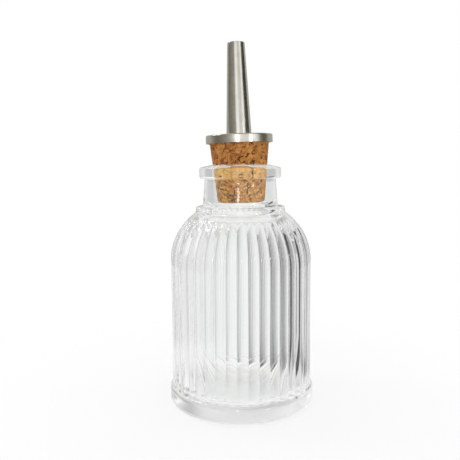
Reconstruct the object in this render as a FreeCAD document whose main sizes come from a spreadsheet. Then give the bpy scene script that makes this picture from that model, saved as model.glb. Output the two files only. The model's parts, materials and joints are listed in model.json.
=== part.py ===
import FreeCAD, Part
import math
import os
import Sketcher

# Bitters bottle: a reeded glass bottle closed by a tapered cork that carries a steel dasher.
# Millimetres, +Z up, origin at the centre of the face that the bottle stands on.
# The stopper pieces are drawn about their own axis with zero height at the mouth of the bottle,
# and are then set on the mouth with the small lean that the cork has in the neck.

DRIVING_SIZES = {
    # Largest share of a wall or height that one rounded edge may take
    "round_share": 0.45,
    # Glass body and foot
    "crest_radius": 26.0,
    "reed_depth": 0.6,
    "reed_count": 42,
    "reed_fill": 0.94,
    "reed_sink": 0.1,
    "reed_root": 0.5,
    "reed_bury": 0.4,
    "groove_run_out": 1.4,
    "band_rise": 0.05,
    "band_height": 2.0,
    "foot_step": 1.0,
    "foot_height": 6.8,
    "foot_round": 2.4,
    "bearing_width": 7.0,
    "push_up": 1.6,
    "body_length": 46.35,
    "shoulder_radius": 21.0,
    "glass_wall": 3.1,
    "floor_thickness": 5.4,
    "floor_round": 4.0,
    # Bead, neck and lip
    "bead_step": 2.7,
    "bead_height": 2.3,
    "bead_round": 1.0,
    "neck_wall": 2.85,
    "neck_flare": 0.75,
    "neck_length": 10.1,
    "lip_step": 1.95,
    "lip_height": 5.0,
    "lip_round": 1.1,
    "lip_edge_round": 0.7,
    "lip_slope": 0.9,
    "mouth_radius": 10.2,
    "mouth_round": 0.4,
    # Cork
    "cork_clearance": 0.12,
    "cork_taper": 0.098,
    "cork_depth": 13.8,
    "cork_shown": 7.8,
    "cork_round": 0.7,
    "stopper_lean": 1.6,
    # Steel dasher
    "skirt_gap": 0.43,
    "collar_height": 3.0,
    "collar_sheet": 0.7,
    "collar_round": 0.5,
    "seat_gap": 0.05,
    "spout_base_radius": 4.6,
    "spout_tip_radius": 3.15,
    "spout_length": 32.6,
    "spout_wall": 0.5,
    "spout_rim_round": 0.2,
    "stem_lap": 6.0,
    "stem_wall": 0.5,
    "stem_recess": 0.4,
    "stem_clearance": 0.05,
    "joint_clearance": 0.03,
    "insert_length": 6.0,
    "insert_flange": 0.8,
    "dash_hole_radius": 0.8,
    "air_hole_radius": 0.45,
}

# Turns of an arc, ends of a sketch line, and the turn in degrees from the right side to the front
LEFT = 1
RIGHT = -1
START = 1
END = 2
TO_FRONT = -90

doc = FreeCAD.newDocument("bitters_bottle")
dims = doc.addObject("Spreadsheet::Sheet", "dims")
for row, (alias, size) in enumerate(DRIVING_SIZES.items(), start=1):
    dims.set(f"A{row}", alias)
    dims.set(f"B{row}", str(size))
    dims.setAlias(f"B{row}", alias)
doc.recompute()

# Sizes that follow from the driving ones, as expressions on the sheet
FOOT_RADIUS = "(dims.crest_radius + dims.foot_step)"
FOOT_LEDGE = "(dims.foot_step + dims.reed_depth)"
FOOT_ROUND = "min(dims.foot_round; dims.round_share * dims.foot_height)"
VALLEY_RADIUS = "(dims.crest_radius - dims.reed_depth)"
NECK_RADIUS = "(dims.mouth_radius + dims.neck_wall)"
NECK_FOOT = f"({NECK_RADIUS} + dims.neck_flare)"
BEAD_RADIUS = f"({NECK_FOOT} + dims.bead_step)"
BEAD_ROUND = "min(dims.bead_round; dims.round_share * dims.bead_height)"
SHOULDER_START = "(dims.foot_height + dims.body_length)"
SHOULDER_CENTRE = "(dims.crest_radius - dims.shoulder_radius)"
SHOULDER_ARC = "(dims.shoulder_radius - dims.reed_depth)"
BAND_ARC = "(dims.shoulder_radius + dims.band_rise)"
BEAD_CLIMB = f"sqrt({BAND_ARC} ^ 2 - ({BEAD_RADIUS} - {SHOULDER_CENTRE}) ^ 2)"
BAND_CLIMB = f"({BEAD_CLIMB} - dims.band_height)"
GROOVE_CLIMB = f"({BAND_CLIMB} - dims.groove_run_out)"
REED_END_ANGLE = f"asin(({BAND_CLIMB} + dims.reed_bury) / {SHOULDER_ARC})"
BEAD_BOTTOM = f"({SHOULDER_START} + {BEAD_CLIMB})"
BEAD_TOP = f"({BEAD_BOTTOM} + dims.bead_height)"
NECK_TOP = f"({BEAD_TOP} + dims.neck_length)"
LIP_RADIUS = f"({NECK_RADIUS} + dims.lip_step)"
LIP_ROUND = "min(dims.lip_round; dims.round_share * dims.lip_height)"
LIP_EDGE = f"({NECK_TOP} + dims.lip_height - dims.lip_slope)"
MOUTH_HEIGHT = f"({NECK_TOP} + dims.lip_height)"
CAVITY_RADIUS = "(dims.crest_radius - dims.glass_wall)"
CAVITY_ARC = f"({CAVITY_RADIUS} - {SHOULDER_CENTRE})"
CAVITY_TOP = f"({SHOULDER_START} + sqrt({CAVITY_ARC} ^ 2 - (dims.mouth_radius - {SHOULDER_CENTRE}) ^ 2))"
BEARING_OUTSIDE = f"({FOOT_RADIUS} - {FOOT_ROUND})"
BEARING_INSIDE = f"({BEARING_OUTSIDE} - dims.bearing_width)"
PUSH_UP_ARC = f"(({BEARING_INSIDE} ^ 2 + dims.push_up ^ 2) / (2 * dims.push_up))"

CORK_AT_MOUTH = "(dims.mouth_radius - dims.cork_clearance)"
CORK_END_RADIUS = f"({CORK_AT_MOUTH} - dims.cork_taper * dims.cork_depth)"
COLLAR_TOP = "(dims.cork_shown + dims.collar_height)"
COLLAR_UNDER = f"({COLLAR_TOP} - dims.collar_sheet)"
CORK_TOP = f"({COLLAR_UNDER} - dims.seat_gap)"
CORK_TOP_RADIUS = f"({CORK_AT_MOUTH} + dims.cork_taper * {CORK_TOP})"
SKIRT_INSIDE = f"({CORK_TOP_RADIUS} + dims.skirt_gap)"
COLLAR_RADIUS = f"({SKIRT_INSIDE} + dims.collar_sheet)"
SPOUT_TAPER = "((dims.spout_base_radius - dims.spout_tip_radius) / dims.spout_length)"
SPOUT_TIP = f"({COLLAR_TOP} + dims.spout_length)"
SPOUT_BORE = "(dims.spout_base_radius - dims.spout_wall)"
RIM_ROUND = "min(dims.spout_rim_round; dims.round_share * dims.spout_wall)"
STEM_RADIUS = f"({SPOUT_BORE} - {SPOUT_TAPER} * dims.stem_lap - dims.joint_clearance)"
STEM_BORE = f"({STEM_RADIUS} - dims.stem_wall)"
INSERT_BOTTOM = "(dims.stem_recess - dims.cork_depth)"
STEM_BOTTOM = f"({INSERT_BOTTOM} + dims.insert_flange)"


def size_of(expression):
    """Value of an expression on the sheet, in millimetres or degrees."""
    return float(dims.evalExpression(expression))


def new_body(label):
    body = doc.addObject("PartDesign::Body", label)
    body.Label = label
    return body


def origin_feature(body, role):
    return next(feature for feature in body.Origin.OriginFeatures if feature.Role == role)


def new_sketch(body, name, plane):
    sketch = body.newObject("Sketcher::SketchObject", name)
    sketch.AttachmentSupport = [(origin_feature(body, plane), "")]
    sketch.MapMode = "FlatFace"
    return sketch


def arc_between(start, end, radius, turn):
    """Minor arc from start to end that bends to the left or to the right of the way."""
    chord = end - start
    to_left = FreeCAD.Vector(-chord.y, chord.x, 0).normalize()
    rise = math.sqrt(max(radius**2 - chord.Length**2 / 4, 0))
    centre = start + chord / 2 + to_left * rise * turn
    first, last = (start, end) if turn == LEFT else (end, start)
    angles = [math.atan2(point.y - centre.y, point.x - centre.x) for point in (first, last)]
    circle = Part.Circle(centre, FreeCAD.Vector(0, 0, 1), radius)
    return Part.ArcOfCircle(circle, angles[0], angles[1])


def draw_outline(sketch, corners, closed=True):
    """Draw lines and arcs through corners whose places are expressions on the sheet.

    A corner is (x, y), with a straight run to the next corner, or (x, y, radius, turn),
    with an arc to it.
    """
    places = [FreeCAD.Vector(size_of(corner[0]), size_of(corner[1]), 0) for corner in corners]
    run_count = len(corners) if closed else len(corners) - 1
    ends = []
    for index in range(run_count):
        corner = corners[index]
        start, end = places[index], places[(index + 1) % len(places)]
        if len(corner) == 2:
            sketch.addGeometry(Part.LineSegment(start, end), False)
            ends.append((START, END))
        else:
            sketch.addGeometry(arc_between(start, end, size_of(corner[2]), corner[3]), False)
            ends.append((START, END) if corner[3] == LEFT else (END, START))
    for index in range(run_count if closed else run_count - 1):
        after = (index + 1) % run_count
        sketch.addConstraint(Sketcher.Constraint("Coincident", index, ends[index][1], after, ends[after][0]))
    for index, corner in enumerate(corners):
        if index < run_count:
            pin_point(sketch, index, ends[index][0], corner, places[index])
        else:
            pin_point(sketch, index - 1, ends[index - 1][1], corner, places[index])
    for index in range(run_count):
        if len(corners[index]) > 2:
            radius = Sketcher.Constraint("Radius", index, size_of(corners[index][2]))
            bind(sketch, radius, corners[index][2])


def pin_point(sketch, run, end, corner, place):
    """Tie one end of a run to its place, or to the axis that it lies on."""
    axes = (("DistanceX", corner[0], place.x, -2), ("DistanceY", corner[1], place.y, -1))
    for kind, expression, value, axis in axes:
        if expression == "0":
            sketch.addConstraint(Sketcher.Constraint("PointOnObject", run, end, axis))
        else:
            bind(sketch, Sketcher.Constraint(kind, -1, 1, run, end, value), expression)


def bind(sketch, constraint, expression):
    index = sketch.addConstraint(constraint)
    sketch.setExpression(f"Constraints[{index}]", expression)


def revolve(body, name, corners):
    """Turn a closed outline, drawn as radius and height, about the upright axis of the body."""
    sketch = new_sketch(body, f"{name}_section", "XZ_Plane")
    draw_outline(sketch, corners)
    feature = body.newObject("PartDesign::Revolution", name)
    feature.Profile = sketch
    feature.ReferenceAxis = (sketch, ["V_Axis"])
    feature.Angle = 360
    doc.recompute()
    return feature


def set_on_mouth(body):
    """Stand a stopper piece on the mouth, leaning to the left as seen from the front."""
    place = f"vector(0; 0; {MOUTH_HEIGHT})"
    turn = "rotation(vector(0; -1; 0); dims.stopper_lean)"
    body.setExpression("Placement", f"placement({place}; {turn})")


def on_shoulder(arc, climb):
    """Radius of the shoulder on an arc about its centre, at a climb above the start of the shoulder."""
    return f"{SHOULDER_CENTRE} + sqrt({arc} ^ 2 - {climb} ^ 2)"


def bottle_section():
    """Half section of the glass at the level of the grooves between the reeds.

    The grooves run out on the shoulder into a plain band, which rises to the bead.
    """
    return [
        ("0", "dims.push_up", PUSH_UP_ARC, RIGHT),
        (BEARING_INSIDE, "0"),
        (BEARING_OUTSIDE, "0", FOOT_ROUND, LEFT),
        (FOOT_RADIUS, FOOT_ROUND),
        (FOOT_RADIUS, f"dims.foot_height - {FOOT_LEDGE}", FOOT_LEDGE, LEFT),
        (VALLEY_RADIUS, "dims.foot_height"),
        (VALLEY_RADIUS, SHOULDER_START, SHOULDER_ARC, LEFT),
        (on_shoulder(SHOULDER_ARC, GROOVE_CLIMB), f"{SHOULDER_START} + {GROOVE_CLIMB}"),
        (on_shoulder(BAND_ARC, BAND_CLIMB), f"{SHOULDER_START} + {BAND_CLIMB}", BAND_ARC, LEFT),
        (BEAD_RADIUS, BEAD_BOTTOM),
        (BEAD_RADIUS, f"{BEAD_TOP} - {BEAD_ROUND}", BEAD_ROUND, LEFT),
        (f"{BEAD_RADIUS} - {BEAD_ROUND}", BEAD_TOP),
        (NECK_FOOT, BEAD_TOP),
        (NECK_RADIUS, NECK_TOP),
        (f"{LIP_RADIUS} - {LIP_ROUND}", NECK_TOP, LIP_ROUND, LEFT),
        (LIP_RADIUS, f"{NECK_TOP} + {LIP_ROUND}"),
        (LIP_RADIUS, f"{LIP_EDGE} - dims.lip_edge_round", "dims.lip_edge_round", LEFT),
        (f"{LIP_RADIUS} - dims.lip_edge_round", LIP_EDGE),
        ("dims.mouth_radius + dims.mouth_round", MOUTH_HEIGHT, "dims.mouth_round", LEFT),
        ("dims.mouth_radius", f"{MOUTH_HEIGHT} - dims.mouth_round"),
        ("dims.mouth_radius", CAVITY_TOP, CAVITY_ARC, RIGHT),
        (CAVITY_RADIUS, SHOULDER_START),
        (CAVITY_RADIUS, "dims.floor_thickness + dims.floor_round", "dims.floor_round", RIGHT),
        (f"{CAVITY_RADIUS} - dims.floor_round", "dims.floor_thickness"),
        ("0", "dims.floor_thickness"),
    ]


def reed_sketch(body, name, height, angle):
    """Cross-section of one reed, square to its path, at an angle up the shoulder arc."""
    sketch = new_sketch(body, name, "XY_Plane")
    # The rotation only gives the axis of the tilt; the sheet sets its angle
    tilt = FreeCAD.Rotation(FreeCAD.Vector(0, -1, 0), 1)
    sketch.AttachmentOffset = FreeCAD.Placement(FreeCAD.Vector(), tilt)
    sketch.setExpression("AttachmentOffset.Base.x", SHOULDER_CENTRE)
    sketch.setExpression("AttachmentOffset.Base.z", height)
    sketch.setExpression("AttachmentOffset.Rotation.Angle", angle)
    ring_radius = f"({SHOULDER_CENTRE} + {SHOULDER_ARC} * cos({angle}))"
    half_width = f"(dims.reed_fill * pi * {ring_radius} / dims.reed_count)"
    bulge = "(dims.reed_depth + dims.reed_sink)"
    curve = f"(({half_width} ^ 2 + {bulge} ^ 2) / (2 * {bulge}))"
    edge = f"({SHOULDER_ARC} - dims.reed_sink)"
    root = f"({SHOULDER_ARC} - dims.reed_root)"
    draw_outline(sketch, [
        (edge, f"-{half_width}", curve, LEFT),
        (edge, half_width),
        (root, half_width),
        (root, f"-{half_width}"),
    ])
    return sketch


def add_reeds(body):
    """Convex reeds from the foot up over the shoulder, whose ends lie in the plain band."""
    straight = body.newObject("PartDesign::Pad", "reed_straight")
    straight.Profile = reed_sketch(body, "reed_at_foot", f"dims.foot_height - {FOOT_LEDGE}", "0")
    straight.setExpression("Length", f"dims.body_length + {FOOT_LEDGE}")
    doc.recompute()

    spine = new_sketch(body, "reed_spine", "XZ_Plane")
    spine_end_x = f"{SHOULDER_CENTRE} + {SHOULDER_ARC} * cos({REED_END_ANGLE})"
    spine_end_z = f"{SHOULDER_START} + {SHOULDER_ARC} * sin({REED_END_ANGLE})"
    spine_corners = [(VALLEY_RADIUS, SHOULDER_START, SHOULDER_ARC, LEFT), (spine_end_x, spine_end_z)]
    draw_outline(spine, spine_corners, closed=False)
    over_shoulder = body.newObject("PartDesign::AdditivePipe", "reed_over_shoulder")
    over_shoulder.Profile = reed_sketch(body, "reed_at_shoulder", SHOULDER_START, "0")
    over_shoulder.Spine = (spine, [""])
    over_shoulder.Transformation = "Multisection"
    over_shoulder.Sections = [reed_sketch(body, "reed_at_end", SHOULDER_START, REED_END_ANGLE)]
    doc.recompute()

    pattern = body.newObject("PartDesign::PolarPattern", "reeds")
    pattern.Originals = [straight, over_shoulder]
    pattern.Axis = (origin_feature(body, "Z_Axis"), [""])
    pattern.Angle = 360
    pattern.setExpression("Occurrences", "dims.reed_count")
    body.Tip = pattern
    doc.recompute()


def make_glass_bottle():
    """Glass bottle, turned so that the crest of its first reed faces the front."""
    body = new_body("glass_bottle")
    revolve(body, "bottle_wall", bottle_section())
    add_reeds(body)
    turn = FreeCAD.Rotation(FreeCAD.Vector(0, 0, 1), TO_FRONT)
    body.Placement = FreeCAD.Placement(FreeCAD.Vector(), turn)
    return body


def make_cork_stopper():
    body = new_body("cork_stopper")
    bore = f"({STEM_RADIUS} + dims.stem_clearance)"
    revolve(body, "cork", [
        (bore, "-dims.cork_depth"),
        (f"{CORK_END_RADIUS} - dims.cork_round", "-dims.cork_depth", "dims.cork_round", LEFT),
        (f"{CORK_END_RADIUS} + dims.cork_taper * dims.cork_round", "dims.cork_round - dims.cork_depth"),
        (CORK_TOP_RADIUS, CORK_TOP),
        (bore, CORK_TOP),
    ])
    set_on_mouth(body)
    return body


def make_collar_cap():
    body = new_body("collar_cap")
    hole = f"({STEM_RADIUS} + dims.joint_clearance)"
    revolve(body, "collar", [
        (hole, COLLAR_UNDER),
        (SKIRT_INSIDE, COLLAR_UNDER),
        (SKIRT_INSIDE, "dims.cork_shown"),
        (COLLAR_RADIUS, "dims.cork_shown"),
        (COLLAR_RADIUS, f"{COLLAR_TOP} - dims.collar_round", "dims.collar_round", LEFT),
        (f"{COLLAR_RADIUS} - dims.collar_round", COLLAR_TOP),
        (hole, COLLAR_TOP),
    ])
    set_on_mouth(body)
    return body


def make_pour_spout():
    body = new_body("pour_spout")
    tip_bore = "(dims.spout_tip_radius - dims.spout_wall)"
    revolve(body, "spout", [
        (SPOUT_BORE, COLLAR_TOP),
        ("dims.spout_base_radius", COLLAR_TOP),
        ("dims.spout_tip_radius", f"{SPOUT_TIP} - {RIM_ROUND}", RIM_ROUND, LEFT),
        (f"dims.spout_tip_radius - {RIM_ROUND}", SPOUT_TIP),
        (f"{tip_bore} + {RIM_ROUND}", SPOUT_TIP, RIM_ROUND, LEFT),
        (tip_bore, f"{SPOUT_TIP} - {RIM_ROUND}"),
    ])
    set_on_mouth(body)
    return body


def make_stem_tube():
    body = new_body("stem_tube")
    stem_top = f"({COLLAR_TOP} + dims.stem_lap)"
    revolve(body, "stem", [
        (STEM_BORE, STEM_BOTTOM),
        (STEM_RADIUS, STEM_BOTTOM),
        (STEM_RADIUS, stem_top),
        (STEM_BORE, stem_top),
    ])
    set_on_mouth(body)
    return body


def make_dash_insert():
    body = new_body("dash_insert")
    plug_radius = f"({STEM_BORE} - dims.joint_clearance)"
    plug_top = f"({STEM_BOTTOM} + dims.insert_length)"
    revolve(body, "insert", [
        ("dims.dash_hole_radius", INSERT_BOTTOM),
        (STEM_RADIUS, INSERT_BOTTOM),
        (STEM_RADIUS, STEM_BOTTOM),
        (plug_radius, STEM_BOTTOM),
        (plug_radius, plug_top),
        ("dims.dash_hole_radius", plug_top),
    ])
    hole_sketch = new_sketch(body, "air_hole_place", "XY_Plane")
    hole_sketch.setExpression("AttachmentOffset.Base.z", INSERT_BOTTOM)
    offset = f"(dims.dash_hole_radius + {plug_radius}) / 2"
    place = FreeCAD.Vector(size_of(offset), 0, 0)
    circle = Part.Circle(place, FreeCAD.Vector(0, 0, 1), size_of("dims.air_hole_radius"))
    hole_sketch.addGeometry(circle, False)
    hole_sketch.addConstraint(Sketcher.Constraint("PointOnObject", 0, 3, -1))
    bind(hole_sketch, Sketcher.Constraint("DistanceX", -1, 1, 0, 3, place.x), offset)
    bind(hole_sketch, Sketcher.Constraint("Radius", 0, circle.Radius), "dims.air_hole_radius")
    air_hole = body.newObject("PartDesign::Pocket", "air_hole")
    air_hole.Profile = hole_sketch
    air_hole.Type = "ThroughAll"
    air_hole.Reversed = True
    doc.recompute()
    set_on_mouth(body)
    return body


def check_document(bodies):
    """Stop before anything is written if an object failed or a solid is not sound."""
    for item in doc.Objects:
        if "Invalid" in item.State or "Error" in item.State:
            raise RuntimeError(f"{item.Label} failed: {item.State}")
    for body in bodies:
        shape = body.Shape
        if shape.isNull() or not shape.isValid() or len(shape.Solids) != 1:
            raise RuntimeError(f"{body.Label} is not one sound solid")


parts = [
    make_glass_bottle(),
    make_cork_stopper(),
    make_collar_cap(),
    make_pour_spout(),
    make_stem_tube(),
    make_dash_insert(),
]
doc.recompute()
check_document(parts)
os.makedirs("parts", exist_ok=True)
for part in parts:
    part.Shape.exportStep(f"parts/{part.Label}.step")
    box = part.Shape.BoundBox
    print(f"{part.Label}: volume {part.Shape.Volume:.1f} mm3, z {box.ZMin:.3f} to {box.ZMax:.3f}")
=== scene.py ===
"""Looks of the bitters bottle: glass, cork and steel on a pale studio floor."""

import json
import math

import bpy
import numpy as np
from mathutils import Matrix, Vector
from mathutils.kdtree import KDTree


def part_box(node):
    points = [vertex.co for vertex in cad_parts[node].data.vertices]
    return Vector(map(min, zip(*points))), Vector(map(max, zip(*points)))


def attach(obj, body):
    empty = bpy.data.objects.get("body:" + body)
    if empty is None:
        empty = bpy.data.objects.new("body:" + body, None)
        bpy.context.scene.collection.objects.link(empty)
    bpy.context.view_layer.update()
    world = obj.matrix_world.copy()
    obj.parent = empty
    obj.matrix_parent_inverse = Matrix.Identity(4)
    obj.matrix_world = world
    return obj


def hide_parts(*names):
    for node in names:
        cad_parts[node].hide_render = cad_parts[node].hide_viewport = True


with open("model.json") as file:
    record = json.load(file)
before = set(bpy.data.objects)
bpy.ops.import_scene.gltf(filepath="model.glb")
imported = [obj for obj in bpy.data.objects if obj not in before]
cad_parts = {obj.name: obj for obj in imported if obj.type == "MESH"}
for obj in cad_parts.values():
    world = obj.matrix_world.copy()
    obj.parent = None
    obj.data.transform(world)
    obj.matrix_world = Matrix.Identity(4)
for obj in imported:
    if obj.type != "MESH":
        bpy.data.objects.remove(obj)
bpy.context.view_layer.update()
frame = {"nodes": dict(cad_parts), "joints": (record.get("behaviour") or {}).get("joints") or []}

MM = 0.001
OUTLINE_STEP = 0.05

# Glass bottle in millimetres, as in the solids
REED_COUNT = 42
REED_DEPTH = 0.6
BAND_RISE = 0.05
BAND_HEIGHT = 2.0
VALLEY_RADIUS = 25.4
FOOT_RADIUS = 27.0
FOOT_HEIGHT = 6.8
FOOT_ROUND = 2.4
BEARING_INSIDE = 17.6
PUSH_UP = 1.6
SHOULDER_START = 53.15
SHOULDER_CENTRE = 5.0
SHOULDER_ARC = VALLEY_RADIUS - SHOULDER_CENTRE
BAND_ARC = SHOULDER_ARC + REED_DEPTH + BAND_RISE
BEAD_RADIUS = 16.5
BEAD_HEIGHT = 2.3
BEAD_ROUND = 1.0
BEAD_CLIMB = math.sqrt(BAND_ARC**2 - (BEAD_RADIUS - SHOULDER_CENTRE) ** 2)
BAND_CLIMB = BEAD_CLIMB - BAND_HEIGHT
NECK_FOOT = 13.8
NECK_RADIUS = 13.05
NECK_LENGTH = 10.1
LIP_RADIUS = 15.0
LIP_HEIGHT = 5.0
LIP_ROUND = 1.1
LIP_EDGE_ROUND = 0.7
LIP_SLOPE = 0.9
MOUTH_RADIUS = 10.2
MOUTH_ROUND = 0.4
CAVITY_RADIUS = 22.9
FLOOR_THICKNESS = 5.4
FLOOR_ROUND = 4.0

# Glass surface: its colour, and the faint ripple and smears that the mould leaves
GLASS_COLOUR = (0.965, 0.974, 0.967, 1)
GLASS_IOR = 1.5
RIPPLE_SCALE = 0.22
RIPPLE_STRETCH = (1, 1, 0.35)
RIPPLE_STRENGTH = 0.25
RIPPLE_HEIGHT = 0.05
SMEAR_SCALE = 0.12
SMEAR_NOISE = (0.45, 0.8)
SMEAR_ROUGHNESS = 0.03

# Bloom on the floor of the cavity: its roughness, the radii where it is whole and gone, and its heights
BLOOM_ROUGHNESS = 0.27
BLOOM_WHOLE = 15.0
BLOOM_GONE = 19.0
BLOOM_RISE = 1.0
BLOOM_OVER_BASE = (0.4, 1.0)

# Cork in millimetres along its own axis, from the mouth
CORK_AT_MOUTH = 10.08
CORK_TAPER = 0.098
CORK_DEPTH = 13.8
CORK_TOP = 10.05
CORK_ROUND = 0.7
CORK_BORE = 3.853
CORK_COLUMNS = 260
CORK_ROW_STEP = 0.24
CORK_BORE_RIM = 0.3

# Granules of the cork and the cracks between them in millimetres
GRANULE_SIZE = 1.7
GRANULE_SINK = 0.1
SEAM_WIDTH = 0.3
SEAM_DEPTH = 0.1
CRACK_COUNT = 230
CRACK_LENGTHS = (0.4, 1.2)
CRACK_WIDTHS = (0.1, 0.22)
CRACK_DEPTHS = (0.2, 0.55)
CRACK_WAVES = 3
CRACK_PHASES = (0, 6)
CORK_SEED = 7

# Colours of the cork: two kinds of granule from dark to pale, and what lies on and between them; the darkest
# grain colour is partly painted shade in the grain's hollows
REDDISH = ((0.3, 0.088, 0.016, 1), (0.5, 0.17, 0.034, 1))
GOLDEN = ((0.38, 0.13, 0.023, 1), (0.62, 0.258, 0.051, 1))
FLECK_COLOUR = (0.627, 0.356, 0.112, 1)
GRAIN_AND_SHADE_COLOUR = (0.099, 0.03, 0.008, 1)
SEAM_COLOUR = (0.059, 0.017, 0.004, 1)
CRACK_COLOUR = (0.055, 0.017, 0.004, 1)

# Painted light on the cork, by heights from the mouth: lighter where it sits in the neck, for the light that
# reaches it through the glass, and a golden band just under the lip, for the pool of light and refraction
# that the lip throws on it
IN_NECK_HEIGHTS = (0.4, -1.0)
IN_NECK_PAINTED_LIGHT = (1.15, 1.42, 1.46, 1)
UNDER_LIP_GLOW_HEIGHTS = (-4.8, -3.9)
UNDER_LIP_PAINTED_GLOW = (0.95, 0.6, 0.2, 1)
UNDER_LIP_GLOW_SHARE = 0.3

# Patterns of the cork: scales per millimetre, the warp in millimetres and the grain's turn in radians
GRANULE_SCALE = 0.6
GRANULE_WARP = (1.4, 1.4, 1.4)
REGION_SCALE = 0.09
GRAIN_STRETCH = (0.5, 2.6, 1.8)
GRAIN_TURN = 6.28
SEAM_PATCH_SCALE = 0.7

# Where the cork's patterns begin and end, in the values of each pattern, and how strongly they show
REGION_EDGES = (0.42, 0.58)
FLECK_EDGES = (0.52, 0.64)
FLECK_SHARE = 0.85
GRAIN_SHADE_EDGES = (0.44, 0.34)
GRAIN_SHADE_SHARE = 0.6
SEAM_EDGES = (0.14, 0.02)
SEAM_SHARE = 0.9
SEAM_PATCH_EDGES = (0.5, 0.6)
CRACK_EDGES = (0.08, 0.4)
DULL_EDGES = (0.3, 0.7)
CORK_ROUGHNESS = (0.9, 0.72)
CORK_SPECULAR = 0.3
GRAIN_RELIEF = 0.7
SEAM_RELIEF = 0.8
CORK_BUMP_STRENGTH = 0.5
CORK_BUMP_HEIGHT = 0.2

# Satin steel: its dull and bright colours, its roughness, and its polishing lines and clouds
STEEL_DULL = (0.66, 0.64, 0.585, 1)
STEEL_BRIGHT = (0.78, 0.765, 0.71, 1)
STEEL_ROUGHNESS = (0.14, 0.24)
STEEL_COLOUR_EDGES = (0.35, 0.65)
STEEL_ROUGHNESS_EDGES = (0.3, 0.7)
LINES_ALONG = (5, 5, 0.06)
LINES_AROUND = 6.0
LINES_SHARE = 0.6
LINES_STRENGTH = 0.05
LINES_HEIGHT = 0.03
STEEL_CLOUD_SCALE = 0.35

# Fire polish: how far it softens corners, the bottom of the groove between two reeds and its upper end
POLISH = 0.16
POLISH_STEPS = 5
POLISH_TAPS = 15
GROOVE_RUN_OUT = 2.6
GROOVE_SOFTNESS = 0.03
BAND_FADE = 0.3
REED_ARC_SHARE = 0.98

# Where the wall is reeded, with room for its softened corners
REEDS_UNDER_LEDGE = 2.0
REEDS_INSIDE_WALL = 0.2
REEDS_INSIDE_ARC = 1.0
REEDS_OUTSIDE_ARC = 0.1

# Rows and columns of the glass: close at the two ends of the reeds, further apart on straight walls
COLUMNS_PER_REED = 12
ROW_BEND = 7.5
REED_FOOT = 1.0
REED_TIPS = 11.0
CLOSE_ROWS = 0.3
SHOULDER_ROWS = 2.0
SHOULDER_LEAD = 2.0
WALL_ROWS = 6.0
OUTSIDE_BORE = 0.1

# Axis of the stopper, which leans a little in the neck
MOUTH = Vector((0, 0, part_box("glass_bottle")[1].z))
STOPPER_AXIS = Vector(frame["joints"][0]["axis"]).normalized()
STOPPER_LEAN = math.atan2(STOPPER_AXIS.x, STOPPER_AXIS.z)

# Light turns many times in the thick foot before it leaves the glass
GLASS_BOUNCES = 64

# Studio floor in millimetres: its size, its drop under the part, and where it turns white
FLOOR_SIZE = 4000.0
FLOOR_DROP = 0.05
FLOOR_FADE = (30.0, 140.0)
FLOOR_GLOW = 0.75
FLOOR_COLOUR = (0.9, 0.9, 0.9, 1)
FLOOR_ROUGHNESS = 0.8

# Level of the world: as light on the part, and where it is seen
WORLD_LIGHT = 0.95
WORLD_WHITE = 1.0

# Tents round the part: pairs of a direction in degrees, from the back round by the right, and a brightness
LOW_TENT = [
    (-180, 0.95), (-162, 0.9), (-148, 0.35), (-126, 0.35), (-112, 0.95), (-95, 0.98), (-82, 0.88),
    (-74, 0.85), (-68, 0.6), (-63, 0.95), (-46, 1.0), (-12, 0.97), (4, 0.9), (13, 0.76), (22, 0.42),
    (34, 0.3), (50, 0.3), (76, 0.75), (86, 0.75), (100, 0.6), (115, 0.8), (180, 0.95),
]
NECK_TENT = [
    (-180, 0.92), (-162, 0.85), (-148, 0.45), (-126, 0.45), (-112, 0.92), (-95, 0.98), (-60, 0.98),
    (-12, 0.97), (4, 0.9), (13, 0.76), (22, 0.45), (34, 0.32), (50, 0.32), (76, 0.5), (96, 0.62),
    (112, 0.8), (180, 0.92),
]
HIGH_TENT = [
    (-180, 0.92), (-162, 0.85), (-148, 0.45), (-126, 0.45), (-112, 0.92), (-95, 0.98), (-60, 0.98),
    (-12, 0.96), (6, 0.9), (16, 0.72), (26, 0.42), (60, 0.38), (96, 0.62), (112, 0.8), (180, 0.92),
]
NECK_SIDES = [(-180, 0.62), (-44, 0.62), (-24, 0.9), (0, 0.95), (24, 0.9), (44, 0.8), (180, 0.8)]
LIP_SIDES = [(-180, 0.56), (-44, 0.56), (-24, 0.85), (24, 0.85), (44, 0.56), (180, 0.56)]
FLAG = [(-180, 0.03), (180, 0.03)]
SPOUT_TENT = [
    (-180, 1.1), (-160, 1.1), (-150, 0.36), (-80, 0.2), (-76, 0.08), (-70, 0.08), (-64, 0.5), (0, 0.55),
    (64, 0.55), (72, 0.06), (116, 0.06), (124, 1.1), (138, 1.1), (143, 0.75), (172, 0.75), (180, 1.1),
]
COLLAR_TENT = [
    (-180, 1.2), (-166, 1.25), (-158, 0.6), (-140, 0.34), (-110, 0.17), (-90, 0.2), (-66, 0.45), (40, 0.5),
    (66, 0.42), (80, 0.15), (96, 0.15), (106, 0.3), (118, 1.0), (130, 1.1), (150, 0.9), (180, 1.0),
]
CEILING = [(-180, 0.45), (180, 0.45)]

# Radii and heights of the tents, rings and flags in millimetres
TENT_COLUMNS = 96
FLOOR_HOLE = 29
TENT_RADIUS = 110
TENT_HEIGHTS = (0, 60, 84, 160)
RING_RADIUS = 42
RING_HEIGHTS = (66, 68.6, 79, 88)
FLAG_RADIUS = 105
FLAG_FOOT = 0.2
NEAR_FLAG_TOP = 110
FAR_FLAG_TOP = 125
STEEL_TENT_RADIUS = 320
STEEL_TENT_HEIGHTS = (0, 135, 330)
CEILING_HOLE = 10
CEILING_SECTION = [(STEEL_TENT_RADIUS, STEEL_TENT_HEIGHTS[-1]), (CEILING_HOLE, STEEL_TENT_HEIGHTS[-1])]


def upright(radius, heights, band):
    """Section of one band of an upright cloth between two of its heights."""
    return [(radius, heights[band]), (radius, heights[band + 1])]


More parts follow.
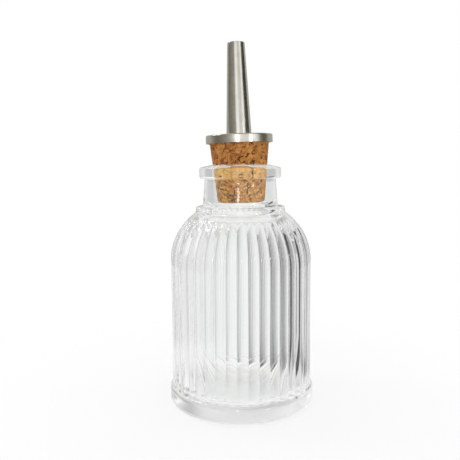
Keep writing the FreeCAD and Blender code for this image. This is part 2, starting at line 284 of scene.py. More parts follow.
def flag_section(top):
    """Section of a dark flag, which lies on the floor from beside the part and then stands up."""
    return [(FLOOR_HOLE, FLAG_FOOT), (FLAG_RADIUS, FLAG_FOOT), (FLAG_RADIUS, top)]


# What is seen through the glass: name, section, brightness, first and last direction
GLASS_TENTS = [
    ("low_tent", [(FLOOR_HOLE, 0)] + upright(TENT_RADIUS, TENT_HEIGHTS, 0), LOW_TENT, -180, 180),
    ("neck_tent", upright(TENT_RADIUS, TENT_HEIGHTS, 1), NECK_TENT, -180, 180),
    ("high_tent", upright(TENT_RADIUS, TENT_HEIGHTS, 2), HIGH_TENT, -180, 180),
    ("neck_foot_ring", upright(RING_RADIUS, RING_HEIGHTS, 0), NECK_SIDES, -45, 45),
    ("neck_ring", upright(RING_RADIUS, RING_HEIGHTS, 1), NECK_SIDES, -80, 92),
    ("lip_ring", upright(RING_RADIUS, RING_HEIGHTS, 2), LIP_SIDES, -80, 92),
    ("near_flag", flag_section(NEAR_FLAG_TOP), FLAG, 38, 70),
    ("far_flag", flag_section(FAR_FLAG_TOP), FLAG, 77, 86),
]

# The lamps' light doesn't pass through the glass, so the tents light the cork in the neck by this much more
CORK_LIFT = 1.8

# What is seen in the steel: name, section, brightness, first and last direction, with darker cloth warmer
STEEL_TENTS = [
    ("collar_tent", upright(STEEL_TENT_RADIUS, STEEL_TENT_HEIGHTS, 0), COLLAR_TENT, -180, 180),
    ("spout_tent", upright(STEEL_TENT_RADIUS, STEEL_TENT_HEIGHTS, 1), SPOUT_TENT, -180, 180),
    ("steel_ceiling", CEILING_SECTION, CEILING, -180, 180),
]
STEEL_WARMTH = 0.22

# Lamps: name, place, the point that they face, width and height in millimetres, and watts
LAMPS = [
    ("front_lamp", (-36, -300, 103), (0, 0, 80), 32, 16, 0.014),
    ("right_lamp", (190, -240, 117), (0, 0, 80), 36, 16, 0.015),
    ("left_lamp", (-190, 60, 262), (0, 0, 60), 30, 120, 0.09),
]

# Camera of the photograph: focal length in pixels, angles in degrees, lengths in millimetres
IMAGE_PIXELS = 460
SENSOR_WIDTH = 36.0
CLIP_START = 10.0
FOCAL_PIXELS = 560.0
CAMERA_PITCH = 6.6
CAMERA_ROLL = 0.5
CAMERA_PLACE = (-3.9, -207.0, 88.0)


def line(start, end, step=OUTLINE_STEP):
    """Points from start to end, without the end."""
    count = max(2, int(math.dist(start, end) / step))
    share = np.linspace(0, 1, count, endpoint=False)[:, None]
    return np.array(start) * (1 - share) + np.array(end) * share


def arc(centre, radius, first, last, step=OUTLINE_STEP):
    """Points on an arc between two angles in degrees, without the last."""
    count = max(4, int(abs(math.radians(last - first)) * radius / step))
    angles = np.radians(np.linspace(first, last, count, endpoint=False))
    return np.column_stack((centre[0] + radius * np.cos(angles), centre[1] + radius * np.sin(angles)))


def bottle_outline():
    """Half section of the glass as radius and height, from under the base round to the floor inside."""
    push_arc = (BEARING_INSIDE**2 + PUSH_UP**2) / (2 * PUSH_UP)
    push_angle = math.degrees(math.asin(BEARING_INSIDE / push_arc))
    bearing_outside = FOOT_RADIUS - FOOT_ROUND
    ledge = FOOT_RADIUS - VALLEY_RADIUS
    groove_end = math.degrees(math.asin((BAND_CLIMB - GROOVE_RUN_OUT) / SHOULDER_ARC))
    band_start = math.degrees(math.asin(BAND_CLIMB / BAND_ARC))
    band_end = math.degrees(math.asin(BEAD_CLIMB / BAND_ARC))
    bead_bottom = SHOULDER_START + BEAD_CLIMB
    bead_top = bead_bottom + BEAD_HEIGHT
    bead_core = BEAD_RADIUS - BEAD_ROUND
    neck_top = bead_top + NECK_LENGTH
    lip_core = LIP_RADIUS - LIP_ROUND
    mouth = neck_top + LIP_HEIGHT
    lip_edge = mouth - LIP_SLOPE
    lip_edge_core = LIP_RADIUS - LIP_EDGE_ROUND
    cavity_arc = CAVITY_RADIUS - SHOULDER_CENTRE
    cavity_end = math.degrees(math.acos((MOUTH_RADIUS - SHOULDER_CENTRE) / cavity_arc))
    cavity_top = SHOULDER_START + cavity_arc * math.sin(math.radians(cavity_end))
    shoulder = (SHOULDER_CENTRE, SHOULDER_START)
    grooves = arc(shoulder, SHOULDER_ARC, 0, groove_end)
    band = arc(shoulder, BAND_ARC, band_start, band_end)
    return np.vstack([
        arc((0, PUSH_UP - push_arc), push_arc, 90, 90 - push_angle),
        line((BEARING_INSIDE, 0), (bearing_outside, 0)),
        arc((bearing_outside, FOOT_ROUND), FOOT_ROUND, -90, 0),
        line((FOOT_RADIUS, FOOT_ROUND), (FOOT_RADIUS, FOOT_HEIGHT - ledge)),
        arc((VALLEY_RADIUS, FOOT_HEIGHT - ledge), ledge, 0, 90),
        line((VALLEY_RADIUS, FOOT_HEIGHT), (VALLEY_RADIUS, SHOULDER_START)),
        grooves,
        line(grooves[-1], band[0]),
        band,
        line((BEAD_RADIUS, bead_bottom), (BEAD_RADIUS, bead_top - BEAD_ROUND)),
        arc((bead_core, bead_top - BEAD_ROUND), BEAD_ROUND, 0, 90),
        line((bead_core, bead_top), (NECK_FOOT, bead_top)),
        line((NECK_FOOT, bead_top), (NECK_RADIUS, neck_top)),
        line((NECK_RADIUS, neck_top), (lip_core, neck_top)),
        arc((lip_core, neck_top + LIP_ROUND), LIP_ROUND, -90, 0),
        line((LIP_RADIUS, neck_top + LIP_ROUND), (LIP_RADIUS, lip_edge - LIP_EDGE_ROUND)),
        arc((lip_edge_core, lip_edge - LIP_EDGE_ROUND), LIP_EDGE_ROUND, 0, 90),
        line((lip_edge_core, lip_edge), (MOUTH_RADIUS + MOUTH_ROUND, mouth)),
        arc((MOUTH_RADIUS + MOUTH_ROUND, mouth - MOUTH_ROUND), MOUTH_ROUND, 90, 180),
        line((MOUTH_RADIUS, mouth - MOUTH_ROUND), (MOUTH_RADIUS, cavity_top)),
        arc(shoulder, cavity_arc, cavity_end, 0),
        line((CAVITY_RADIUS, SHOULDER_START), (CAVITY_RADIUS, FLOOR_THICKNESS + FLOOR_ROUND)),
        arc((CAVITY_RADIUS - FLOOR_ROUND, FLOOR_THICKNESS + FLOOR_ROUND), FLOOR_ROUND, 0, -90),
        line((CAVITY_RADIUS - FLOOR_ROUND, FLOOR_THICKNESS), (0, FLOOR_THICKNESS)),
        [(0, FLOOR_THICKNESS)],
    ])


def polish(outline, reach):
    """Soften the corners of an outline as fire polishing does; its two ends stay."""
    lengths = np.append(0, np.cumsum(np.linalg.norm(np.diff(outline, axis=0), axis=1)))
    step = reach / POLISH_STEPS
    even = np.arange(0, lengths[-1], step)
    points = np.column_stack([np.interp(even, lengths, outline[:, k]) for k in range(2)])
    taps = np.arange(-POLISH_TAPS, POLISH_TAPS + 1)
    weights = np.exp(-((taps * step / reach) ** 2) / 2)
    weights /= weights.sum()
    padded = np.pad(points, ((POLISH_TAPS, POLISH_TAPS), (0, 0)), mode="edge")
    smooth = np.column_stack([np.convolve(padded[:, k], weights, "valid") for k in range(2)])
    smooth[0], smooth[-1] = outline[0], outline[-1]
    return smooth


def pick_rows(outline, bend, longest):
    """Keep the points where the outline has turned by bend degrees or run on for the longest step."""
    kept, heading = [0], None
    for index in range(1, len(outline) - 1):
        way = outline[index + 1] - outline[index]
        angle = math.atan2(way[1], way[0])
        heading = angle if heading is None else heading
        turn = abs((angle - heading + math.pi) % (2 * math.pi) - math.pi)
        run = np.linalg.norm(outline[index] - outline[kept[-1]])
        if turn > math.radians(bend) or run > longest(outline[index]):
            kept.append(index)
            heading = angle
    kept.append(len(outline) - 1)
    return outline[kept]


def longest_step(point):
    """Longest step between rows at a point of the outline."""
    radius, height = point
    on_plain_reeds = FOOT_HEIGHT + REED_FOOT < height < SHOULDER_START + REED_TIPS
    if is_reeded(radius, height) and not on_plain_reeds:
        return CLOSE_ROWS
    on_shoulder = height > SHOULDER_START - SHOULDER_LEAD and radius > MOUTH_RADIUS + OUTSIDE_BORE
    return SHOULDER_ROWS if on_shoulder else WALL_ROWS


def reed_height(ring_radius, offset):
    """Height of a reed over the grooves, at an offset across it."""
    half_width = math.pi * ring_radius / REED_COUNT
    curve = (half_width**2 + REED_DEPTH**2) / (2 * REED_DEPTH)
    away = np.minimum(np.abs(offset), REED_ARC_SHARE * curve)
    return np.sqrt(curve**2 - away**2) - (curve - REED_DEPTH)


def soft_max(first, second, softness):
    """The larger of two heights, with the corner between them rounded."""
    return (first + second + np.sqrt((first - second) ** 2 + softness**2)) / 2


def reeded_ring(radius, height, angles, from_crest):
    """One ring of the outside of the glass, raised to the reeds that run through it."""
    if height > SHOULDER_START:
        tilt = math.atan2(height - SHOULDER_START, radius - SHOULDER_CENTRE)
        above = math.hypot(height - SHOULDER_START, radius - SHOULDER_CENTRE) - SHOULDER_ARC
    else:
        tilt = 0.0
        above = radius - VALLEY_RADIUS
    ring_radius = SHOULDER_CENTRE + SHOULDER_ARC * math.cos(tilt)
    on_band = max(height - SHOULDER_START - BAND_CLIMB, 0.0)
    reeds = reed_height(ring_radius, ring_radius * from_crest) - BAND_FADE * on_band
    rise = soft_max(np.full_like(angles, above), reeds, GROOVE_SOFTNESS) - above
    return radius + rise * math.cos(tilt), height + rise * math.sin(tilt)


def is_reeded(radius, height):
    """Rows of the outside wall from the ledge of the foot up to the bead."""
    over_ledge = FOOT_HEIGHT - REEDS_UNDER_LEDGE < height <= SHOULDER_START
    on_body = over_ledge and radius > VALLEY_RADIUS - REEDS_INSIDE_WALL
    reach = math.hypot(radius - SHOULDER_CENTRE, height - SHOULDER_START)
    on_arc = SHOULDER_ARC - REEDS_INSIDE_ARC < reach < BAND_ARC + REEDS_OUTSIDE_ARC
    below_bead = SHOULDER_START < height < SHOULDER_START + BEAD_CLIMB
    return on_body or (below_bead and on_arc)


def reed_columns():
    """Angles of the mesh columns, closer together in the grooves, and their distance from a crest."""
    even = np.linspace(-1, 1, COLUMNS_PER_REED, endpoint=False)
    within = (even + np.sin(even * math.pi / 2)) / 4
    pitch = 2 * math.pi / REED_COUNT
    crests = np.arange(REED_COUNT) * pitch - math.pi / 2
    angles = (crests[:, None] + within * pitch).ravel()
    return angles, np.tile(within * pitch, REED_COUNT)


def new_piece(name, points, faces, body):
    """A smooth mesh that rides on a body."""
    mesh = bpy.data.meshes.new(name)
    mesh.from_pydata(points, [], faces)
    mesh.validate()
    mesh.shade_smooth()
    piece = bpy.data.objects.new(name, mesh)
    bpy.context.scene.collection.objects.link(piece)
    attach(piece, body)
    return piece


def ring_faces(ring_count, columns):
    """Quads between rings, and a fan at each end, where the first and last point close the form."""
    faces = []
    for ring in range(ring_count - 1):
        low, high = 1 + ring * columns, 1 + (ring + 1) * columns
        for column in range(columns):
            after = (column + 1) % columns
            faces.append((low + column, low + after, high + after, high + column))
    last_ring = 1 + (ring_count - 1) * columns
    last = last_ring + columns
    for column in range(columns):
        after = (column + 1) % columns
        faces.append((0, 1 + after, 1 + column))
        faces.append((last, last_ring + column, last_ring + after))
    return faces


def make_glass():
    """The bottle as one mesh of rings about its axis, closed under the base and on the floor inside."""
    rows = pick_rows(polish(bottle_outline(), POLISH), ROW_BEND, longest_step)
    angles, from_crest = reed_columns()
    points = [np.array([[0, 0, rows[0][1]]])]
    for radius, height in rows[1:-1]:
        if is_reeded(radius, height):
            radii, heights = reeded_ring(radius, height, angles, from_crest)
        else:
            radii, heights = np.full_like(angles, radius), np.full_like(angles, height)
        points.append(np.column_stack((radii * np.cos(angles), radii * np.sin(angles), heights)))
    points.append(np.array([[0, 0, rows[-1][1]]]))
    faces = ring_faces(len(rows) - 2, len(angles))
    glass = new_piece("reeded_glass", (np.vstack(points) * MM).tolist(), faces, "bottle")
    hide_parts("glass_bottle")
    return glass


def cork_rings():
    """Radius and height of the cork's rings, from the bore's lower end round the outside to its upper end."""
    end_radius = CORK_AT_MOUTH - CORK_TAPER * CORK_DEPTH
    corner = (end_radius - CORK_ROUND, CORK_ROUND - CORK_DEPTH)
    side_foot = (end_radius + CORK_TAPER * CORK_ROUND, CORK_ROUND - CORK_DEPTH)
    top = (CORK_AT_MOUTH + CORK_TAPER * CORK_TOP, CORK_TOP)
    return np.vstack([
        line((CORK_BORE, -CORK_DEPTH), (corner[0], -CORK_DEPTH), CORK_ROW_STEP),
        arc(corner, CORK_ROUND, -90, 0, CORK_ROW_STEP),
        line(side_foot, top, CORK_ROW_STEP),
        [top, (CORK_BORE, CORK_TOP)],
    ])


def granule_relief(places, outward, chance):
    """How deep each place lies under the smooth surface of the cork, and how much of that is a dark crack."""
    reach = np.abs(places).max(axis=0)
    count = int(np.prod(2 * reach) / GRANULE_SIZE**3)
    seeds = chance.uniform(-reach, reach, (count, 3))
    sinks = chance.uniform(0, GRANULE_SINK, count)
    tree = KDTree(count)
    for index, seed in enumerate(seeds):
        tree.insert(seed, index)
    tree.balance()
    depth = np.zeros(len(places))
    for index, place in enumerate(places):
        (_, first, near), (_, _, next_near) = tree.find_n(place, 2)
        seam = max(0.0, 1 - (next_near - near) / SEAM_WIDTH)
        depth[index] = sinks[first] + SEAM_DEPTH * seam**2
    crack = np.zeros(len(places))
    for centre in chance.choice(len(places), CRACK_COUNT, replace=False):
        across = np.cross(outward[centre], chance.normal(size=3))
        across /= np.linalg.norm(across)
        along = np.cross(outward[centre], across)
        length = chance.uniform(*CRACK_LENGTHS)
        width = chance.uniform(*CRACK_WIDTHS)
        deep = chance.uniform(*CRACK_DEPTHS)
        away = places - places[centre]
        run = away @ along / length
        bend = width * np.sin(CRACK_WAVES * run + chance.uniform(*CRACK_PHASES))
        share = np.exp(-(run**4) - ((away @ across + bend) / width) ** 2 - (away @ outward[centre]) ** 2)
        crack = np.maximum(crack, share * deep / CRACK_DEPTHS[1])
    return depth + crack * CRACK_DEPTHS[1], crack


def make_cork():
    """The cork with the relief of its granules, which only ever lies under the smooth solid's surface."""
    rings = cork_rings()
    angles = np.linspace(0, 2 * math.pi, CORK_COLUMNS, endpoint=False)
    slopes = np.gradient(rings, axis=0)
    slopes /= np.linalg.norm(slopes, axis=1)[:, None]
    places, outward = [], []
    for (radius, height), (run, climb) in zip(rings, slopes):
        around = np.column_stack((np.cos(angles), np.sin(angles)))
        places.append(np.column_stack((radius * around, np.full(CORK_COLUMNS, height))))
        outward.append(np.column_stack((climb * around, np.full(CORK_COLUMNS, -run))))
    places, outward = np.vstack(places), np.vstack(outward)
    chance = np.random.default_rng(CORK_SEED)
    depth, crack = granule_relief(places, outward, chance)
    fixed = np.hypot(places[:, 0], places[:, 1]) < CORK_BORE + CORK_BORE_RIM
    places -= outward * np.where(fixed, 0.0, depth)[:, None]
    lean = np.array(Matrix.Rotation(STOPPER_LEAN, 3, "Y"))
    points = places @ lean.T * MM + np.array(MOUTH)
    ring_count = len(rings)
    faces = []
    for ring in range(ring_count):
        low, high = ring * CORK_COLUMNS, (ring + 1) % ring_count * CORK_COLUMNS
        for column in range(CORK_COLUMNS):
            after = (column + 1) % CORK_COLUMNS
            faces.append((low + column, low + after, high + after, high + column))
    cork = new_piece("granulated_cork", points.tolist(), faces, "cork")
    cork.data.attributes.new("crack", "FLOAT", "POINT").data.foreach_set("value", crack.astype(np.float32))
    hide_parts("cork_stopper")
    return cork


class Shader:
    """A node material under construction."""

    def __init__(self, name):
        self.material = bpy.data.materials.new(name)
        self.material.use_nodes = True
        self.tree = self.material.node_tree
        self.surface = self.tree.nodes["Principled BSDF"]

    def add(self, kind, inputs=None, **settings):
        """Add a node. An input is a number, a colour or the output of another node."""
        node = self.tree.nodes.new(kind)
        for name, value in settings.items():
            setattr(node, name, value)
        for name, value in (inputs or {}).items():
            self.put(node.inputs[name], value)
        return node

    def put(self, socket, value):
        """Link a socket to another node's output, or set its value."""
        if isinstance(value, bpy.types.NodeSocket):
            self.tree.links.new(value, socket)
        else:
            socket.default_value = value

    def finish(self, **inputs):
        """Set sockets of the surface, with words joined by underscores for spaces."""
        for name, value in inputs.items():
            self.put(self.surface.inputs[name.replace("_", " ")], value)
        return self.material

    def show(self, glow):
        """Put another shader in the surface's place."""
        self.put(self.tree.nodes["Material Output"].inputs["Surface"], glow)
        return self.material

    def place(self):
        """Metres in the frame of the part."""
        return self.add("ShaderNodeTexCoord").outputs["Object"]

    def stopper_millimetres(self):
        """Millimetres along the stopper's own axis, with zero at the mouth."""
        turn = (0, STOPPER_LEAN, 0)
        inputs = {"Vector": self.place(), "Location": MOUTH, "Rotation": turn, "Scale": (MM, MM, MM)}
        return self.add("ShaderNodeMapping", inputs, vector_type="TEXTURE").outputs[0]

    def millimetres(self):
        """Millimetres in the frame of the part."""
        inputs = {"Vector": self.place(), "Scale": (MM, MM, MM)}
        return self.add("ShaderNodeMapping", inputs, vector_type="TEXTURE").outputs[0]

    def stretched(self, vector, scale):
        """A place with its axes scaled, which stretches a pattern where the scale is small."""
        return self.add("ShaderNodeMapping", {"Vector": vector, "Scale": scale}).outputs[0]

    def noise(self, vector, scale, detail=2.0, roughness=0.5):
        inputs = {"Vector": vector, "Scale": scale, "Detail": detail, "Roughness": roughness}
        return self.add("ShaderNodeTexNoise", inputs)

    def voronoi(self, vector, scale, feature="F1"):
        return self.add("ShaderNodeTexVoronoi", {"Vector": vector, "Scale": scale}, feature=feature)

    def spread(self, value, low, high, new_low, new_high):
        """Map a range of values to another, smoothly."""
        inputs = {"Value": value, 1: low, 2: high, 3: new_low, 4: new_high}
        return self.add("ShaderNodeMapRange", inputs, interpolation_type="SMOOTHSTEP").outputs[0]

    def mix(self, share, first, second, blend="MIX"):
        inputs = {0: share, 6: first, 7: second}
        return self.add("ShaderNodeMix", inputs, data_type="RGBA", blend_type=blend).outputs[2]

    def math(self, operation, first, second, third=0.0):
        inputs = {0: first, 1: second, 2: third}
        return self.add("ShaderNodeMath", inputs, operation=operation).outputs[0]

    def axes(self, vector):
        return self.add("ShaderNodeSeparateXYZ", {0: vector}).outputs

    def length(self, vector):
        return self.add("ShaderNodeVectorMath", {0: vector}, operation="LENGTH").outputs["Value"]

    def bump(self, height, strength, distance_mm):
        inputs = {"Height": height, "Strength": strength, "Distance": distance_mm * MM}
        return self.add("ShaderNodeBump", inputs).outputs[0]


def glass_material():
    """Clear pressed glass with the faint ripple that the mould leaves."""
    shader = Shader("pressed_glass")
    place = shader.millimetres()
    ripple = shader.noise(shader.stretched(place, RIPPLE_STRETCH), RIPPLE_SCALE, detail=1.0).outputs[0]
    smear_noise = shader.noise(place, SMEAR_SCALE, detail=3.0).outputs[0]
    smear = shader.spread(smear_noise, *SMEAR_NOISE, 0.0, SMEAR_ROUGHNESS)
    height = shader.axes(place)[2]
    radius = shader.length(shader.stretched(place, (1, 1, 0)))
    base_clear, base_bloomed = (PUSH_UP + rise for rise in BLOOM_OVER_BASE)
    inside = shader.spread(radius, BLOOM_GONE, BLOOM_WHOLE, 0.0, 1.0)
    on_floor = shader.spread(height, FLOOR_THICKNESS + FLOOR_ROUND, FLOOR_THICKNESS + BLOOM_RISE, 0.0, 1.0)
    above_base = shader.spread(height, base_clear, base_bloomed, 0.0, BLOOM_ROUGHNESS)
    floor_bloom = shader.math("MULTIPLY", shader.math("MULTIPLY", inside, on_floor), above_base)
    return shader.finish(
        Base_Color=GLASS_COLOUR,
        Roughness=shader.math("MAXIMUM", smear, floor_bloom),
        IOR=GLASS_IOR,
        Transmission_Weight=1.0,
        Normal=shader.bump(ripple, RIPPLE_STRENGTH, RIPPLE_HEIGHT),
    )


def cork_material():
    """Pressed granules, each with its own tint and its own grain, with dark cracks and specks between.
    Painted shade darkens the grain's hollows, painted light lightens the cork in the neck, and a painted pool
    of light makes a golden band under the lip.
    """
    shader = Shader("pressed_cork")
    place = shader.stopper_millimetres()
    warp = shader.noise(place, GRANULE_SCALE, detail=2.0).outputs["Color"]
    warped = shader.add(
        "ShaderNodeVectorMath", {0: warp, 1: GRANULE_WARP, 2: place}, operation="MULTIPLY_ADD"
    ).outputs[0]
    granule = shader.voronoi(warped, GRANULE_SCALE)
    tint = shader.add("ShaderNodeSeparateColor", {0: granule.outputs["Color"]}).outputs
    region = shader.spread(shader.noise(place, REGION_SCALE, detail=1.0).outputs[0], *REGION_EDGES, 0.0, 1.0)
    tone = shader.mix(region, shader.mix(tint[0], *REDDISH), shader.mix(tint[0], *GOLDEN))
    whole_turn = shader.math("MULTIPLY", tint[1], GRAIN_TURN)
    turned = shader.add(
        "ShaderNodeVectorRotate",
        {"Vector": warped, "Axis": granule.outputs["Color"], "Angle": whole_turn},
    ).outputs[0]
    grain = shader.noise(shader.stretched(turned, GRAIN_STRETCH), 1.0, detail=3.0, roughness=0.6).outputs[0]
    flecked = shader.mix(shader.spread(grain, *FLECK_EDGES, 0.0, FLECK_SHARE), tone, FLECK_COLOUR)
    # The grain's low parts, which the bump sinks, are darkened: the grain's own tone and painted shade in its
    # hollows
    shaded = shader.mix(shader.spread(grain, *GRAIN_SHADE_EDGES, 0.0, GRAIN_SHADE_SHARE), flecked, GRAIN_AND_SHADE_COLOUR)
    seam = shader.voronoi(warped, GRANULE_SCALE, "DISTANCE_TO_EDGE").outputs[0]
    patch = shader.noise(place, SEAM_PATCH_SCALE, detail=2.0).outputs[0]
    seam_line = shader.spread(seam, *SEAM_EDGES, 0.0, SEAM_SHARE)
    dark_seam = shader.math("MULTIPLY", seam_line, shader.spread(patch, *SEAM_PATCH_EDGES, 0.0, 1.0))
    seamed = shader.mix(dark_seam, shaded, SEAM_COLOUR)
    height = shader.axes(place)[2]
    # The cork in the neck is lightened with painted light, standing in for the light that reaches it through
    # the glass
    in_neck = shader.spread(height, *IN_NECK_HEIGHTS, 0.0, 1.0)
    # Just under the lip a golden band is painted light: the pool of light and the refraction that the lip
    # throws on the cork
    lip_glow_mask = shader.spread(height, *UNDER_LIP_GLOW_HEIGHTS, 0.0, UNDER_LIP_GLOW_SHARE)
    paler = shader.mix(in_neck, seamed, IN_NECK_PAINTED_LIGHT, "MULTIPLY")
    lip_glowed = shader.mix(shader.math("MULTIPLY", in_neck, lip_glow_mask), paler, UNDER_LIP_PAINTED_GLOW)
    crack = shader.add("ShaderNodeAttribute", attribute_name="crack").outputs["Fac"]
    colour = shader.mix(shader.spread(crack, *CRACK_EDGES, 0.0, 1.0), lip_glowed, CRACK_COLOUR)
    hollow = shader.math("MULTIPLY", dark_seam, SEAM_RELIEF)
    relief = shader.math("SUBTRACT", shader.math("MULTIPLY", grain, GRAIN_RELIEF), hollow)
    return shader.finish(
        Base_Color=colour,
        Roughness=shader.spread(grain, *DULL_EDGES, *CORK_ROUGHNESS),
        Specular_IOR_Level=CORK_SPECULAR,
        Normal=shader.bump(relief, CORK_BUMP_STRENGTH, CORK_BUMP_HEIGHT),
    )


def steel_material(name, along):
    """Satin stainless steel with fine polishing lines along or around its axis."""
    shader = Shader(name)
    place = shader.stopper_millimetres()
    if along:
        lines = shader.noise(shader.stretched(place, LINES_ALONG), 1.0, detail=3.0).outputs[0]
    else:
        radius = shader.length(shader.stretched(place, (1, 1, 0)))
        across = shader.math("MULTIPLY", radius, LINES_AROUND)
        up = shader.math("MULTIPLY", shader.axes(place)[2], LINES_AROUND)
        rings = shader.add("ShaderNodeCombineXYZ", {0: across, 2: up}).outputs[0]
        lines = shader.noise(rings, 1.0, detail=3.0).outputs[0]
    cloud = shader.noise(place, STEEL_CLOUD_SCALE, detail=2.0).outputs[0]
    lined = shader.math("MULTIPLY", lines, LINES_SHARE)
    clouded = shader.math("MULTIPLY", cloud, 1 - LINES_SHARE)
    wear = shader.math("ADD", lined, clouded)
    bright = shader.spread(wear, *STEEL_COLOUR_EDGES, 0.0, 1.0)
    return shader.finish(
        Base_Color=shader.mix(bright, STEEL_DULL, STEEL_BRIGHT),
        Metallic=1.0,
        Roughness=shader.spread(wear, *STEEL_ROUGHNESS_EDGES, *STEEL_ROUGHNESS),
        Normal=shader.bump(lines, LINES_STRENGTH, LINES_HEIGHT),
    )


def dress(node, material):
    """Give a node of the frame one material all over."""
    mesh = frame["nodes"][node].data
    mesh.materials.clear()
    mesh.materials.append(material)


def seen_directly(tree):
    """One for rays from the camera, from a mirror and through glass, and zero for the rest."""
    rays = tree.nodes.new("ShaderNodeLightPath").outputs
    total = rays["Is Camera Ray"]
    for kind in ("Is Glossy Ray", "Is Transmission Ray"):
        join = tree.nodes.new("ShaderNodeMath")
        join.operation = "MAXIMUM"
        tree.links.new(total, join.inputs[0])
        tree.links.new(rays[kind], join.inputs[1])
        total = join.outputs[0]
    return total


def light_world():
    """White all round where it is seen, and a plain level of light elsewhere."""
    world = bpy.data.worlds.new("studio")
    world.use_nodes = True
    bpy.context.scene.world = world
    tree = world.node_tree
    background = tree.nodes["Background"]
    background.inputs["Color"].default_value = (1, 1, 1, 1)
    strength = tree.nodes.new("ShaderNodeMapRange")
    strength.inputs["To Min"].default_value = WORLD_LIGHT
    strength.inputs["To Max"].default_value = WORLD_WHITE
    tree.links.new(seen_directly(tree), strength.inputs["Value"])
    tree.links.new(strength.outputs[0], background.inputs["Strength"])


def floor_material():
    """Pale floor that is lifted towards white where it is seen, and keeps a soft shadow."""
    shader = Shader("pale_floor")
    shader.finish(Base_Color=FLOOR_COLOUR, Roughness=FLOOR_ROUGHNESS, Specular_IOR_Level=0.0)
    fade_start, fade_end = (distance * MM for distance in FLOOR_FADE)
    white = shader.spread(shader.length(shader.place()), fade_start, fade_end, FLOOR_GLOW, 1.0)
    share = shader.math("MULTIPLY", seen_directly(shader.tree), white)
    glow = shader.add("ShaderNodeEmission").outputs[0]
    mixed = shader.add("ShaderNodeMixShader", {0: share, 1: shader.surface.outputs[0], 2: glow})
    return shader.show(mixed.outputs[0])


def make_floor():
    """A wide square floor just under the part."""
    half = FLOOR_SIZE / 2 * MM
    mesh = bpy.data.meshes.new("floor")
    corners = [(-half, -half, 0), (half, -half, 0), (half, half, 0), (-half, half, 0)]
    mesh.from_pydata(corners, [], [(0, 1, 2, 3)])
    mesh.materials.append(floor_material())
    floor = bpy.data.objects.new("floor", mesh)
    floor.location.z = -FLOOR_DROP * MM
    bpy.context.scene.collection.objects.link(floor)


def cloth_colour(level, warmth):
    """A level of brightness as a colour, with the darker levels warmer."""
    shade = warmth * (1 - min(level, 1))
    return level, level * (1 - shade / 4), level * (1 - shade), 1


def tent_material(name, levels, warmth, lift):
    """Cloth of a light tent, with its brightness by direction, and brighter by lift as light on the cork."""
    shader = Shader(name)
    shader.tree.nodes.remove(shader.surface)
    axes = shader.axes(shader.place())
    turn = shader.math("ARCTAN2", axes[0], axes[1])
    inputs = {"Value": turn, "From Min": -math.pi, "From Max": math.pi}
    ramp = shader.add("ShaderNodeValToRGB", {0: shader.add("ShaderNodeMapRange", inputs).outputs[0]})
    steps = ramp.color_ramp.elements
    for step, (direction, level) in zip(list(steps), (levels[0], levels[-1])):
        step.position = direction / 360 + 0.5
        step.color = cloth_colour(level, warmth)
    for direction, level in levels[1:-1]:
        steps.new(direction / 360 + 0.5).color = cloth_colour(level, warmth)
    depth = shader.add("ShaderNodeLightPath").outputs["Diffuse Depth"]
    bounced = shader.math("MINIMUM", depth, 1.0)
    strength = shader.math("MULTIPLY_ADD", bounced, lift, 1.0)
    glow = shader.add("ShaderNodeEmission", {"Color": ramp.outputs[0], "Strength": strength})
    return shader.show(glow.outputs[0])


def make_tent(name, section, levels, first, last, warmth=0.0, lift=0.0):
    """A light tent between two directions, which the camera and the lamps' light don't meet."""
    angles = np.radians(np.linspace(first, last, TENT_COLUMNS + 1))
    around = np.column_stack((np.sin(angles), np.cos(angles)))
    rings = [np.column_stack((radius * around, np.full_like(angles, height))) for radius, height in section]
    faces = []
    for ring in range(len(section) - 1):
        low, high = ring * len(angles), (ring + 1) * len(angles)
        faces += [(low + k, low + k + 1, high + k + 1, high + k) for k in range(TENT_COLUMNS)]
    mesh = bpy.data.meshes.new(name)
    mesh.from_pydata((np.vstack(rings) * MM).tolist(), [], faces)
    mesh.materials.append(tent_material(name, levels, warmth, lift))
    tent = bpy.data.objects.new(name, mesh)
    bpy.context.scene.collection.objects.link(tent)
    tent.visible_camera = False
    tent.visible_diffuse = False
    tent.visible_shadow = False
    return tent


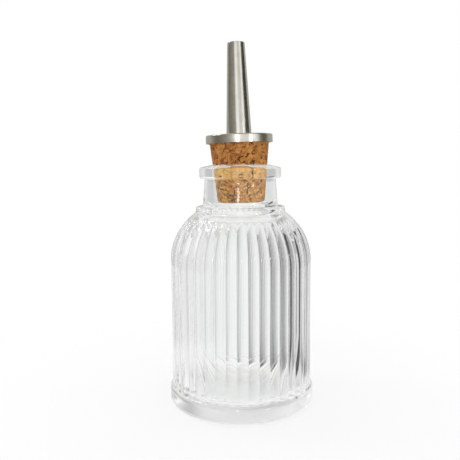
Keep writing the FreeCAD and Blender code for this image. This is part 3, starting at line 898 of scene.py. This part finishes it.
def new_lamp(name, place, facing, width, height, watts):
    """A soft lamp at a place, turned to the point that it faces."""
    data = bpy.data.lights.new(name, "AREA")
    data.shape = "RECTANGLE"
    data.size, data.size_y = width * MM, height * MM
    data.energy = watts
    lamp = bpy.data.objects.new(name, data)
    lamp.location = Vector(place) * MM
    lamp.rotation_euler = (Vector(facing) - Vector(place)).to_track_quat("-Z", "Y").to_euler()
    bpy.context.scene.collection.objects.link(lamp)


def build_studio():
    """World, floor, tents and lamps."""
    light_world()
    make_floor()
    for tent in GLASS_TENTS:
        make_tent(*tent, lift=CORK_LIFT).visible_glossy = False
    for tent in STEEL_TENTS:
        make_tent(*tent, warmth=STEEL_WARMTH).visible_transmission = False
    for lamp in LAMPS:
        new_lamp(*lamp)


def make_camera():
    """The photograph's camera."""
    data = bpy.data.cameras.new("photo_camera")
    data.sensor_width = SENSOR_WIDTH
    data.lens = SENSOR_WIDTH * FOCAL_PIXELS / IMAGE_PIXELS
    data.clip_start = CLIP_START * MM
    camera = bpy.data.objects.new("photo_camera", data)
    tilt = Matrix.Rotation(math.radians(90 - CAMERA_PITCH), 4, "X")
    roll = Matrix.Rotation(math.radians(-CAMERA_ROLL), 4, "Z")
    camera.matrix_world = Matrix.Translation(Vector(CAMERA_PLACE) * MM) @ tilt @ roll
    bpy.context.scene.collection.objects.link(camera)
    bpy.context.scene.camera = camera


def set_rendering():
    """Plain colours, and enough bounces for the thick glass."""
    scene = bpy.context.scene
    scene.view_settings.view_transform = "Standard"
    scene.cycles.max_bounces = GLASS_BOUNCES
    scene.cycles.transmission_bounces = GLASS_BOUNCES
    scene.cycles.glossy_bounces = GLASS_BOUNCES


glass = make_glass()
glass.data.materials.append(glass_material())
cork = make_cork()
cork.data.materials.append(cork_material())
spout_steel = steel_material("satin_steel_along", along=True)
collar_steel = steel_material("satin_steel_around", along=False)
dress("pour_spout", spout_steel)
dress("stem_tube", spout_steel)
dress("collar_cap", collar_steel)
dress("dash_insert", collar_steel)
build_studio()
make_camera()
set_rendering()
